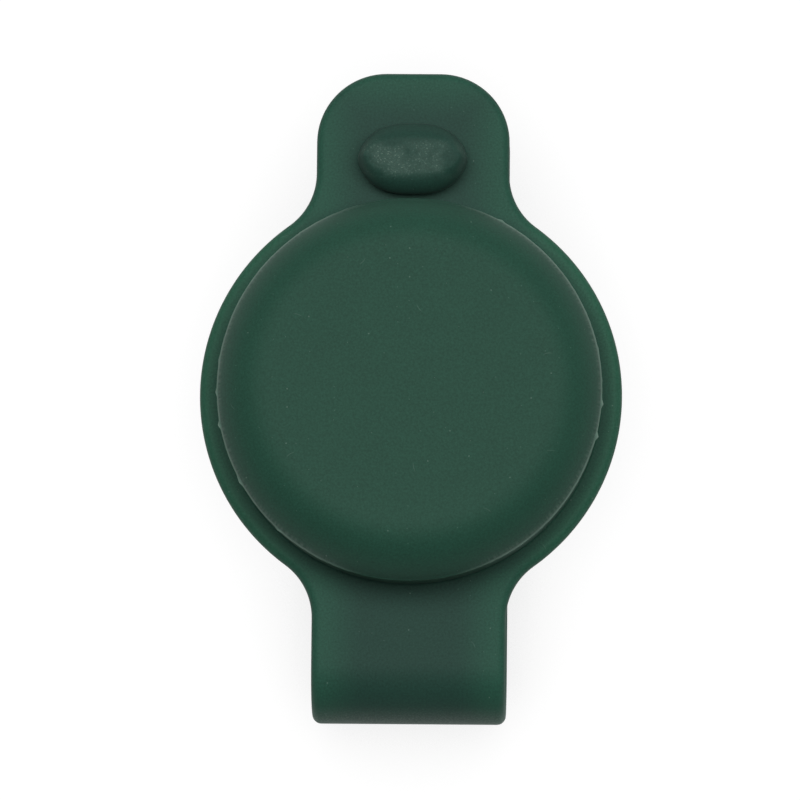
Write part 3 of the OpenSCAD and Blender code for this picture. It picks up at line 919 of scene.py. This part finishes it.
def moulded_silicone(name, worn):
    """Silicone that reads its flat place from the attribute. A worn piece has a rubbed crown."""
    material, tree, shader = new_finish(name, SILICONE, roughness=0.62, IOR=1.41,
                                        Specular_IOR_Level=0.28,
                                        Sheen_Weight=0.025, Sheen_Roughness=0.5)
    place = add(tree, "Attribute", attribute_name="blank")["Vector"]
    x, y, z = add(tree, "SeparateXYZ", place)
    colour = silicone_tones_and_light(tree, worn, x, y, z, from_axis(tree, x, y))

    clouds = add(tree, "TexNoise", Vector=place, Scale=CLOUDS_PER_MM, Detail=3.0)[0]
    grain = add(tree, "TexNoise", Vector=place, Scale=GRAIN_PER_MM, Detail=4.0, Roughness=0.7)[0]
    shade = 1 - (CLOUD_DEPTH + GRAIN_DEPTH) / 2
    for uneven, depth in ((clouds, CLOUD_DEPTH), (grain, GRAIN_DEPTH)):
        shade = add(tree, "Math", uneven, depth, shade, operation="MULTIPLY_ADD")[0]
    colour = add(tree, "VectorMath", colour, operation="SCALE", Scale=shade)[0]

    # Each mark with how pale it is
    pairs = [(marks(tree, place, *DUST), 0.35), (marks(tree, place, *FINE_DUST), 0.25),
             (marks(tree, place, *HAIRS), 0.14)]
    if worn:
        pairs += rubbed_crown(tree, place, y, z)
    else:
        pairs += [(dust_and_reflection_on_fold(tree, place, y, z), CREST_PALE)]
    pale = lit_parting_line(tree, x, y, z)
    for mark, strength in pairs:
        mark = add(tree, "Math", mark, strength, operation="MULTIPLY")[0]
        pale = add(tree, "Math", pale, mark, operation="MAXIMUM")[0]
    colour = add(tree, "Mix", pale, data_type="RGBA", _6=colour, _7=linear(SILICONE_PALE))[2]
    tree.links.new(colour, shader.inputs["Base Color"])
    relief = add(tree, "Bump", Strength=0.5, Distance=GRAIN_RELIEF, Height=grain)[0]
    tree.links.new(relief, shader.inputs["Normal"])
    return material


silicone = moulded_silicone("moulded_silicone", worn=False)
for piece in (moulding, rear):
    dress(piece, silicone)
dress(button, moulded_silicone("rubbed_silicone", worn=True))
print("silicone on", moulding.name, rear.name, button.name)

# %% [markdown]
# ## The tag inside
#
# The tag's pieces are hard and their CAD meshes are right, so they only get finishes. Their
# patterns read object coordinates, scaled to millimetres. Turned pieces have lines that go round
# the axis, so their noise reads the distance from it. Those lines are finer than the picture's
# pixels, so what they give the eye is an even satin sheen. The coil's turns are stacked, so they
# read the height. All patterns do the same two things, so one function lets a pattern mix two
# tones and stand out as a relief.

# %% Plastics and metals of the tag
TRACE_CELLS_PER_MM = 1.1
TRACE_FROM = 0.38


def in_mm(tree):
    """Object coordinates in millimetres, the distance from the tag's axis, and the height."""
    place = add(tree, "TexCoord")["Object"]
    place = add(tree, "VectorMath", place, operation="SCALE", Scale=1 / MM)[0]
    x, y, z = add(tree, "SeparateXYZ", place)
    return place, from_axis(tree, x, y), z


def patterned(tree, shader, pattern, dark, light, relief_mm, height=None):
    """Two tones and a shallow relief from one pattern, or the relief from a height of its own."""
    tone = add(tree, "Mix", pattern, data_type="RGBA", _6=linear(dark), _7=linear(light))[2]
    tree.links.new(tone, shader.inputs["Base Color"])
    relief = add(tree, "Bump", Strength=0.6, Distance=relief_mm * MM, Height=height or pattern)[0]
    tree.links.new(relief, shader.inputs["Normal"])


def moulded_plastic(name, dark, light, roughness, grain_per_mm):
    """Injection-moulded plastic: an even colour over a fine orange peel."""
    material, tree, shader = new_finish(name, light, roughness, IOR=1.5)
    place, _, _ = in_mm(tree)
    peel = add(tree, "TexNoise", Vector=place, Scale=grain_per_mm, Detail=2.0)[0]
    patterned(tree, shader, peel, dark, light, 0.01)
    return material


def turned_metal(name, dark, light, roughness, lines_per_mm):
    """Spun or turned metal, whose fine lines run round the axis."""
    material, tree, shader = new_finish(name, light, roughness, metallic=1.0)
    _, radius, _ = in_mm(tree)
    lines = add(tree, "TexNoise", noise_dimensions="1D",
                W=radius, Scale=lines_per_mm, Detail=3.0)[0]
    patterned(tree, shader, lines, dark, light, 0.006)
    rough = add(tree, "MapRange", lines, 0.0, 1.0, roughness * 0.8, roughness * 1.3)[0]
    tree.links.new(rough, shader.inputs["Roughness"])
    return material


def wound_wire(name, dark, light, turns_per_mm):
    """Enamelled copper wire in close turns, stacked along the axis. Real wire has about 20 turns
    in a millimetre, too fine to show, so fewer are drawn."""
    material, tree, shader = new_finish(name, light, 0.3, metallic=1.0)
    _, _, z = in_mm(tree)
    turns = add(tree, "Math", z, 2 * math.pi * turns_per_mm, operation="MULTIPLY")[0]
    turns = add(tree, "Math", turns, operation="SINE")[0]
    turns = add(tree, "MapRange", turns, -1.0, 1.0)[0]
    patterned(tree, shader, turns, dark, light, 0.03)
    return material


def printed_board(name, mask, trace):
    """Green solder mask over copper traces, which show as slightly lighter cells."""
    material, tree, shader = new_finish(name, mask, 0.35, IOR=1.5)
    place, _, _ = in_mm(tree)
    cells = add(tree, "TexVoronoi", distance="CHEBYCHEV", feature="F1",
                Vector=place, Scale=TRACE_CELLS_PER_MM)["Distance"]
    traces = add(tree, "Math", cells, TRACE_FROM, operation="GREATER_THAN")[0]
    patterned(tree, shader, traces, mask, trace, 0.02, height=cells)
    return material


tag_finishes = {
    "tag_cap": moulded_plastic("polished_abs", "#e4e4e1", "#efefec", 0.12, 0.8),
    "tag_chassis": moulded_plastic("satin_abs", "#dededb", "#e9e9e6", 0.38, 4.0),
    "battery_cover": turned_metal("spun_stainless_steel", "#a4a7aa", "#c6c8ca", 0.24, 70),
    "cell_can": turned_metal("nickel_plated_can", "#a9a9a5", "#c4c4bf", 0.3, 30),
    "cell_cap": turned_metal("nickel_plated_cap", "#a2a29e", "#bcbcb8", 0.34, 30),
    "speaker_yoke": turned_metal("plated_iron_yoke", "#8d8f92", "#aaacb0", 0.36, 25),
    "speaker_magnet": turned_metal("plated_magnet", "#7d8084", "#989ba0", 0.25, 15),
    "battery_contacts": turned_metal("gold_flashed_spring", "#b48a3c", "#d2aa55", 0.25, 40),
    "voice_coil": wound_wire("enamelled_copper", "#7a4120", "#c47f45", 6),
    "circuit_board": printed_board("solder_mask", "#14502a", "#1f6b3a"),
    "board_chips": moulded_plastic("epoxy_package", "#1b1d20", "#2a2c30", 0.5, 6.0),
    "antenna_ring": moulded_plastic("antenna_carrier_plastic", "#303336", "#404448", 0.45, 5.0),
    "cell_seal": moulded_plastic("nylon_seal", "#d0d0c8", "#dfdfd8", 0.4, 3.0),
}
for node_name, finish in tag_finishes.items():
    dress(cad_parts[node_name], finish)
print("finishes on", len(tag_finishes), "pieces of the tag")

# %% [markdown]
# ## Floor and light
#
# The photograph is a catalogue picture on pure white, lit from above. The background is a wide
# tub of grey paper round and well below the holder, which also glows for the camera and for
# reflections, and that takes it to white. When the strap is opened it swings down past the level
# that the holder lies on, so the floor at that level is a clear sheet for the camera. It only
# darkens a little where the holder is close above it, which is the soft contact shadow. For
# bounced light it is grey paper too. One broad lamp hangs overhead, a little beyond the tab and
# to the right, and a dim white world fills the rest, so that the sides and the underside are
# never black.

# %% Paper for the backdrop and the floor
PAPER = 0.2
GLOW = 1.0
SHADOW_REACH = 14 * MM
SHADOW_DEPTH = 0.3


def studio_paper(name, clear):
    """Grey paper that glows for the camera and for reflections. A clear sheet shows the camera
    only its contact shadow and lets lamps shine through."""
    material = bpy.data.materials.new(name)
    material.use_nodes = True
    tree = material.node_tree
    tree.nodes.clear()
    seen = add(tree, "LightPath")
    direct = add(tree, "Math", seen["Is Camera Ray"], seen["Is Glossy Ray"], operation="MAXIMUM")[0]
    direct = add(tree, "Math", direct, seen["Is Transmission Ray"], operation="MAXIMUM")[0]
    direct = add(tree, "Math", direct, GLOW, operation="MULTIPLY")[0]
    fibres = add(tree, "BsdfDiffuse", Color=(PAPER, PAPER, PAPER, 1))[0]
    glow = add(tree, "Emission", Color=(1, 1, 1, 1), Strength=direct)[0]
    surface = add(tree, "AddShader", fibres, glow)[0]
    if clear:
        near = add(tree, "AmbientOcclusion", samples=4, Distance=SHADOW_REACH)["AO"]
        shade = add(tree, "MapRange", near, 0.0, 1.0, 1 - SHADOW_DEPTH, 1.0)[0]
        film = add(tree, "BsdfTransparent", Color=shade)[0]
        through = add(tree, "Math", seen["Is Camera Ray"], seen["Is Shadow Ray"],
                      operation="MAXIMUM")[0]
        surface = add(tree, "MixShader", through, surface, film)[0]
    add(tree, "OutputMaterial", Surface=surface)
    return material


print("the contact shadow reaches", round(SHADOW_REACH / MM), "mm")

# %% Backdrop, floor and world
TUB_R = 2.2
TUB_FLOOR = -1.0
TUB_RIM = 0.3
TUB_SIDES = 96
FLOOR_SIZE = 3.0
FLOOR_Z = -0.02 * MM
WORLD_LEVEL = 0.09

deselect()
bpy.ops.mesh.primitive_cylinder_add(vertices=TUB_SIDES, radius=TUB_R, depth=TUB_RIM - TUB_FLOOR,
                                    location=(0, 0, (TUB_RIM + TUB_FLOOR) / 2))
tub = bpy.context.object
tub.name = "backdrop"
bpy.ops.object.mode_set(mode="EDIT")
select_faces(lambda face: face.normal.z > FLAT)
bpy.ops.mesh.delete(type="FACE")
bpy.ops.object.mode_set(mode="OBJECT")
dress(tub, studio_paper("white_paper", clear=False))

deselect()
bpy.ops.mesh.primitive_plane_add(size=FLOOR_SIZE, location=(0, 0, FLOOR_Z))
floor = bpy.context.object
floor.name = "floor"
dress(floor, studio_paper("clear_floor", clear=True))

world = bpy.data.worlds.new("studio")
world.use_nodes = True
bpy.context.scene.world = world
world.node_tree.nodes["Background"].inputs["Color"].default_value = (1, 1, 1, 1)
world.node_tree.nodes["Background"].inputs["Strength"].default_value = WORLD_LEVEL
print("backdrop faces:", len(tub.data.polygons))

# %% Lamp
TARGET = Vector((0, 0, FRONT_Z))
LAMP_AT = Vector((0.05, 0.22, 1.0))
LAMP_SIZE = (1.9, 0.8)
LAMP_WATTS = 12.5

deselect()
bpy.ops.object.light_add(type="AREA", location=LAMP_AT)
lamp = bpy.context.object
lamp.name = "key_lamp"
lamp.data.shape = "ELLIPSE"
lamp.data.size, lamp.data.size_y = LAMP_SIZE
lamp.data.energy = LAMP_WATTS
lamp.rotation_euler = (TARGET - LAMP_AT).to_track_quat("-Z", "Y").to_euler()
print("the lamp hangs", round((LAMP_AT - TARGET).length, 2), "m away")

# %% [markdown]
# ## Camera
#
# The camera is placed from what the photograph shows: the width in millimetres that the picture
# spans, the pixel where the middle of the ring lies, a small roll, and the tilt at which the
# pocket's top leans over its foot. A fit of the outline to the photograph gave the numbers.

# %% Camera
PICTURE = 800
FRAME_WIDTH = 72.26 * MM
DISTANCE = 0.7
RING_AT = (410.6, 394.6)
ROLL = math.radians(0.58)
TOWARDS = Vector((0.03, -0.13, 0.99)).normalized()

up = (Vector((0, 1, 0)) - TOWARDS * TOWARDS.y).normalized()
up.rotate(Matrix.Rotation(ROLL, 3, TOWARDS))
right = up.cross(TOWARDS)
pixel = FRAME_WIDTH / PICTURE
aim = TARGET - right * (RING_AT[0] - PICTURE / 2) * pixel
aim += up * (RING_AT[1] - PICTURE / 2) * pixel
deselect()
bpy.ops.object.camera_add(location=aim + TOWARDS * DISTANCE)
camera = bpy.context.object
camera.data.lens = camera.data.sensor_width * DISTANCE / FRAME_WIDTH
camera.data.clip_start = DISTANCE / 10
camera.rotation_euler = Matrix((right, up, TOWARDS)).transposed().to_euler()
bpy.context.scene.camera = camera
bpy.context.scene.view_settings.view_transform = "Standard"
print("camera lens:", round(camera.data.lens, 1), "mm")
